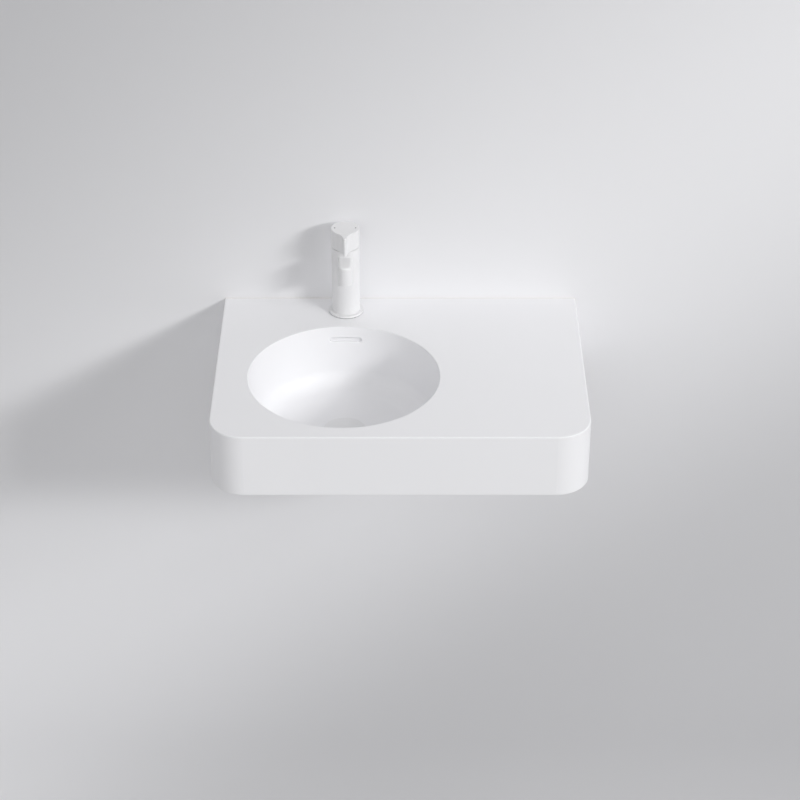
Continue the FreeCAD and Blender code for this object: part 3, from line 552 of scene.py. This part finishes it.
# %% [markdown]
# The two discs that mix the water are alumina, pressed, fired and lapped until they seal by touch.
# Alumina is a warm white, denser than porcelain, and the lapped face is almost a mirror.
# Fine grey specks show where the powder was not quite pure.

# %% Lapped alumina
speck_mm = 0.8

material, surface, where = new_material("lapped_alumina")
specks = add(material, "ShaderNodeTexNoise", {"Scale": grain(speck_mm), "Detail": 5}, {
    "Vector": where,
})
few = add(material, "ShaderNodeMapRange", {"From Min": 0.55, "From Max": 0.75}, {
    0: specks.outputs["Fac"],
})
colour = add(material, "ShaderNodeMix", {
    "data_type": "RGBA", COLOUR_A: linear("#F1EEE6"), COLOUR_B: linear("#D8D4CA"),
}, {0: few.outputs[0]})
sheen = add(material, "ShaderNodeMapRange", {"To Min": 0.12, "To Max": 0.25}, {
    0: specks.outputs["Fac"],
})
shader = add(material, "ShaderNodeBsdfPrincipled", {"IOR": 1.76}, {
    "Base Color": colour.outputs[MIXED], "Roughness": sheen.outputs[0],
})
keep("disc_ceramic", material, shader, surface)

# %% [markdown]
# Bushes, washers and the cartridge are moulded in grey acetal.
# The mould's spark-eroded face leaves an even fine grain, drawn here at 0.7 mm so that it shows,
# and the flow of the melt leaves broad cloudy shades.

# %% Moulded acetal
mould_grain_mm = 0.7
flow_mm = 12

material, surface, where = new_material("moulded_grey_acetal")
eroded = add(material, "ShaderNodeTexNoise", {"Scale": grain(mould_grain_mm), "Detail": 3}, {
    "Vector": where,
})
flow = add(material, "ShaderNodeTexNoise", {"Scale": grain(flow_mm), "Detail": 2}, {"Vector": where})
colour = add(material, "ShaderNodeMix", {
    "data_type": "RGBA", COLOUR_A: linear("#B2B4B6"), COLOUR_B: linear("#C2C4C6"),
}, {0: flow.outputs["Fac"]})
sheen = add(material, "ShaderNodeMapRange", {"To Min": 0.42, "To Max": 0.60}, {
    0: eroded.outputs["Fac"],
})
bump = add(material, "ShaderNodeBump", {"Strength": 0.35, "Distance": 0.05 * MM}, {
    "Height": eroded.outputs["Fac"],
})
shader = add(material, "ShaderNodeBsdfPrincipled", {"IOR": 1.48}, {
    "Base Color": colour.outputs[MIXED], "Roughness": sheen.outputs[0],
    "Normal": bump.outputs["Normal"],
})
keep("grey_plastic", material, shader, surface)

# %% [markdown]
# Gaskets are black rubber, moulded and dusted with talc so that they do not stick.
# The talc leaves pale clouds on a dull black ground, and the surface has the grain of a wiped mould.

# %% Moulded rubber
talc_mm = 8
rubber_grain_mm = 0.9

material, surface, where = new_material("moulded_black_rubber")
talc = add(material, "ShaderNodeTexNoise", {"Scale": grain(talc_mm), "Detail": 5}, {"Vector": where})
rough = add(material, "ShaderNodeTexNoise", {"Scale": grain(rubber_grain_mm), "Detail": 2}, {
    "Vector": where,
})
dusted = add(material, "ShaderNodeMapRange", {"From Min": 0.40, "From Max": 0.80}, {
    0: talc.outputs["Fac"],
})
colour = add(material, "ShaderNodeMix", {
    "data_type": "RGBA", COLOUR_A: linear("#28282A"), COLOUR_B: linear("#4C4C4E"),
}, {0: dusted.outputs[0]})
sheen = add(material, "ShaderNodeMapRange", {"To Min": 0.65, "To Max": 0.85}, {
    0: rough.outputs["Fac"],
})
bump = add(material, "ShaderNodeBump", {"Strength": 0.4, "Distance": 0.06 * MM}, {
    "Height": rough.outputs["Fac"],
})
shader = add(material, "ShaderNodeBsdfPrincipled", {"IOR": 1.52}, {
    "Base Color": colour.outputs[MIXED], "Roughness": sheen.outputs[0],
    "Normal": bump.outputs["Normal"],
})
keep("black_rubber", material, shader, surface)

# %% [markdown]
# Two small dots on the handle show which side is hot and which is cold.
# They are drilled shallow and filled with dark grey enamel, which dries slightly sunken and uneven.

# %% Enamel dots
enamel_mm = 1

material, surface, where = new_material("grey_filled_enamel")
uneven = add(material, "ShaderNodeTexNoise", {"Scale": grain(enamel_mm), "Detail": 2}, {
    "Vector": where,
})
colour = add(material, "ShaderNodeMix", {
    "data_type": "RGBA", COLOUR_A: linear("#3C3D40"), COLOUR_B: linear("#48494C"),
}, {0: uneven.outputs["Fac"]})
sheen = add(material, "ShaderNodeMapRange", {"To Min": 0.30, "To Max": 0.45}, {
    0: uneven.outputs["Fac"],
})
shader = add(material, "ShaderNodeBsdfPrincipled", {"IOR": 1.5}, {
    "Base Color": colour.outputs[MIXED], "Roughness": sheen.outputs[0],
})
keep("mark_grey", material, shader, surface)

# %% [markdown]
# The record names a slot of material for every piece of the frame, so each gets the finish of its slot.

# %% Dress the frame's pieces
slot_of = {part["node"]: part["material_slot"] for part in frame["record"]["subparts"]}
for name, node in nodes.items():
    node.data.materials.clear()
    node.data.materials.append(finishes[slot_of[name]])
print("dressed", len(nodes), "pieces in", len(finishes), "finishes")

# %% [markdown]
# The waste fitting and the tap's stud carry real threads, which the frame keeps as plain cylinders,
# because a thread of flat facets would only slow the fitting tests down.
# A thread is a groove that winds along a bar. A lathe cuts it with a pointed tool, and so does this
# cell: a small triangle, swept by a Screw modifier, is the path of the tool, and a Boolean takes it
# away. That keeps every other detail of the piece. The piece starts as a copy of the frame's mesh,
# whose loose triangles are merged first. A thread is 0.613 of its pitch deep, and the tool reaches out
# past the bar.

# %% A copy to work on, and a threading tool
merge_within = 0.002 * MM
thread_depth = 0.613
tool_radius = 0.55


def working_copy(node, name):
    """A new piece with the node's shape, its triangles merged, dressed in the node's finish."""
    bpy.ops.object.select_all(action="DESELECT")
    piece = bpy.data.objects.new(name, nodes[node].data.copy())
    bpy.context.scene.collection.objects.link(piece)
    bpy.context.view_layer.objects.active = piece
    piece.select_set(True)
    bpy.ops.object.mode_set(mode="EDIT")
    bpy.ops.mesh.select_all(action="SELECT")
    bpy.ops.mesh.remove_doubles(threshold=merge_within)
    bpy.ops.object.mode_set(mode="OBJECT")
    return piece


def apply_modifier(piece, kind, **settings):
    """Adds a modifier, sets it and applies it."""
    bpy.context.view_layer.objects.active = piece
    modifier = piece.modifiers.new(kind, kind)
    for setting, value in settings.items():
        setattr(modifier, setting, value)
    bpy.ops.object.modifier_apply(modifier=modifier.name)


def place_at(piece, point):
    """Moves a piece to the point and leaves its object at the origin, unturned and unscaled."""
    bpy.ops.object.select_all(action="DESELECT")
    piece.select_set(True)
    bpy.context.view_layer.objects.active = piece
    piece.location = point
    bpy.ops.object.transform_apply(location=True, rotation=True, scale=True)


def cut_thread(piece, axis, outer, pitch, low, high, steps):
    """Cuts a thread of the given pitch into the outer radius of a piece, between two heights."""
    tip = outer - pitch * thread_depth
    bpy.ops.object.select_all(action="DESELECT")
    bpy.ops.mesh.primitive_circle_add(
        vertices=3, radius=pitch * tool_radius, location=(tip + pitch * tool_radius, 0, 0),
        rotation=(math.radians(90), math.radians(-90), 0),
    )
    tool = bpy.context.object
    bpy.ops.object.transform_apply(location=True, rotation=True, scale=True)
    turns = math.ceil((high - low) / pitch)
    apply_modifier(
        tool, "SCREW", axis="Z", screw_offset=pitch, iterations=turns, steps=steps, render_steps=steps,
        use_normal_calculate=True, use_smooth_shade=False,
    )
    bpy.ops.object.mode_set(mode="EDIT")
    bpy.ops.mesh.select_mode(type="EDGE")
    bpy.ops.mesh.select_all(action="DESELECT")
    bpy.ops.mesh.select_non_manifold()
    bpy.ops.mesh.fill_holes(sides=3)
    bpy.ops.mesh.select_all(action="SELECT")
    bpy.ops.mesh.normals_make_consistent(inside=False)
    bpy.ops.object.mode_set(mode="OBJECT")
    place_at(tool, (axis.x, axis.y, low))
    before = len(piece.data.polygons)
    apply_modifier(piece, "BOOLEAN", operation="DIFFERENCE", solver="EXACT", object=tool)
    bpy.data.objects.remove(tool)
    bpy.ops.object.select_all(action="DESELECT")
    piece.select_set(True)
    bpy.context.view_layer.objects.active = piece
    bpy.ops.object.shade_smooth_by_angle(angle=smooth_angle)
    print(piece.name, "has", turns, "turns of thread")
    print("and", len(piece.data.polygons), "faces, from", before)


print("a thread of 2 mm pitch is cut", round(2 * thread_depth, 2), "mm deep")

# %% [markdown]
# The waste's tail has a pipe thread of eleven turns to the inch, below the windows for the overflow.
# The stud that pulls the tap down has the coarse thread of an 8 mm bolt all along.

# %% Threaded waste and stud
pipe_pitch = 25.4 / 11 * MM
pipe_radius = 20.95 * MM
pipe_high = -57 * MM
pipe_steps = 64
stud_pitch = 1.25 * MM
stud_steps = 32

waste_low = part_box("waste_body")[0].z
stud_low, stud_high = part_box("clamp_stud")

waste = working_copy("waste_body", "threaded_waste")
cut_thread(waste, bowl_axis, pipe_radius, pipe_pitch, waste_low - pipe_pitch, pipe_high, pipe_steps)
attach(waste, "basin")
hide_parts("waste_body")

stud = working_copy("clamp_stud", "threaded_stud")
cut_thread(
    stud, middle("clamp_stud"), radius("clamp_stud"), stud_pitch,
    stud_low.z - stud_pitch, stud_high.z, stud_steps,
)
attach(stud, "basin")
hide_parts("clamp_stud")

# %% [markdown]
# Under the spout sits the aerator, and what one sees of it is a small honeycomb that straightens
# the jet. It is moulded in one piece: a round rim, filled with six-sided tubes.
# One function makes both: the middle of a flat shape is taken out, and what is left is drawn up.

# %% Rim and one cell of the honeycomb
cell_sides = 6
cell_pitch = 1.5 * MM
cell_wall = 0.22 * MM
comb_height = 3.0 * MM
comb_length = 6.2 * MM
comb_radius = radius("aerator_insert")
rim_width = 0.6 * MM
rim_sides = 64


def tube(name, sides, outer, wall, height):
    """A tube about the Z axis: a filled circle, whose inset middle is taken out, given its height."""
    bpy.ops.object.select_all(action="DESELECT")
    bpy.ops.mesh.primitive_circle_add(
        vertices=sides, radius=outer, fill_type="NGON", location=(0, 0, 0),
    )
    piece = bpy.context.object
    piece.name = name
    bpy.ops.object.mode_set(mode="EDIT")
    bpy.ops.mesh.select_mode(type="FACE")
    bpy.ops.mesh.select_all(action="SELECT")
    bpy.ops.mesh.inset(thickness=wall)
    bpy.ops.mesh.delete(type="FACE")
    bpy.ops.mesh.select_all(action="SELECT")
    bpy.ops.mesh.extrude_region_move(TRANSFORM_OT_translate={"value": (0, 0, height)})
    bpy.ops.mesh.select_all(action="SELECT")
    bpy.ops.mesh.normals_make_consistent(inside=False)
    bpy.ops.object.mode_set(mode="OBJECT")
    return piece


rim = tube("aerator_comb", rim_sides, comb_radius, rim_width, comb_length)
bpy.ops.object.shade_smooth_by_angle(angle=smooth_angle)
cell = tube("cell", cell_sides, cell_pitch / math.sqrt(3), cell_wall, comb_height)
place_at(cell, (0, 0, 0))
print("the rim is", round(2 * comb_radius / MM, 2), "mm across")
print("and a cell", round(cell_pitch / MM, 2), "mm")

# %% [markdown]
# The cell is copied in rows over the round mouth, every other row half a step aside.
# The copies are joined in one mesh with the rim, and then turned to the lean of the mouth, which is
# the line from the frame's insert to the seal above it.

# %% Honeycomb of the aerator
row_step = cell_pitch * math.sqrt(3) / 2
edge_gap = cell_pitch / 4
reach = comb_radius - rim_width / 2
rows = math.ceil(reach / row_step)
comb_middle = middle("aerator_insert")
comb_axis = (middle("aerator_seal") - comb_middle).normalized()

cells = [cell]
for row in range(-rows, rows + 1):
    for column in range(-rows - 1, rows + 2):
        across = (column + (row % 2) / 2) * cell_pitch
        along = row * row_step
        if math.hypot(across, along) > reach - edge_gap or (row == 0 and column == 0):
            continue
        copy = bpy.data.objects.new("cell", cell.data.copy())
        bpy.context.scene.collection.objects.link(copy)
        copy.location = (across, along, 0)
        cells.append(copy)
bpy.ops.object.select_all(action="DESELECT")
for piece in cells + [rim]:
    piece.select_set(True)
bpy.context.view_layer.objects.active = rim
bpy.ops.object.join()
comb = rim
comb.rotation_mode = "QUATERNION"
comb.rotation_quaternion = Vector((0, 0, 1)).rotation_difference(comb_axis)
place_at(comb, comb_middle - comb_axis * comb_length / 2)
comb.data.materials.clear()
comb.data.materials.append(finishes["grey_plastic"])
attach(comb, "basin")
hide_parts("aerator_insert")
comb_lean = math.degrees(comb_axis.angle(Vector((0, 0, 1))))
print("the comb has", len(cells), "cells and leans", round(comb_lean, 1), "degrees")

# %% [markdown]
# Behind the overflow slot a white moulded strip narrows the way into the duct, so that from the front
# the slot looks shallow and pale, with a thin shaded gap along its top for the water.
# The bowl's wall is round, so the strip follows it: its end face is spun about the axis of the bowl.
# The slot's place is counted from the deck: the bowl narrows with depth, by the taper of its wall.

# %% Strip behind the overflow slot
bowl_radius = 142.5 * MM
bowl_taper = math.radians(9)
slot_drop = 18.5 * MM
slot_height = 6 * MM
strip_depth = 2.5 * MM
strip_thick = 2 * MM
strip_high = 5 * MM
strip_above_slot = 0.05 * MM
strip_half = 23.4 * MM
strip_steps = 24

strip_low = top_z - slot_drop - slot_height + strip_above_slot
inner = bowl_radius - slot_drop * math.tan(bowl_taper) + strip_depth
half_turn = math.asin(strip_half / inner)
bpy.ops.object.select_all(action="DESELECT")
bpy.ops.mesh.primitive_plane_add(size=1, rotation=(0, math.radians(90), 0))
strip = bpy.context.object
strip.name = "overflow_strip"
strip.scale = (strip_high, strip_thick, 1)
strip.location = (0, inner + strip_thick / 2, strip_low + strip_high / 2)
bpy.ops.object.transform_apply(location=True, rotation=True, scale=True)
bpy.ops.object.mode_set(mode="EDIT")
bpy.ops.mesh.select_all(action="SELECT")
bpy.ops.transform.rotate(value=-half_turn, orient_axis="Z", center_override=(0, 0, 0))
bpy.ops.mesh.spin(steps=strip_steps, angle=2 * half_turn, center=(0, 0, 0), axis=(0, 0, 1))
bpy.ops.mesh.select_all(action="SELECT")
bpy.ops.mesh.remove_doubles(threshold=merge_within)
bpy.ops.mesh.normals_make_consistent(inside=False)
bpy.ops.object.mode_set(mode="OBJECT")
place_at(strip, (bowl_axis.x, bowl_axis.y, 0))
strip.data.materials.append(finishes["matt_white_ceramic"])
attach(strip, "basin")
strip_ends = [vertex.co.x for vertex in strip.data.vertices]
print("the strip runs from x", round(min(strip_ends), 4), "to", round(max(strip_ends), 4))
print("and has", len(strip.data.polygons), "faces")
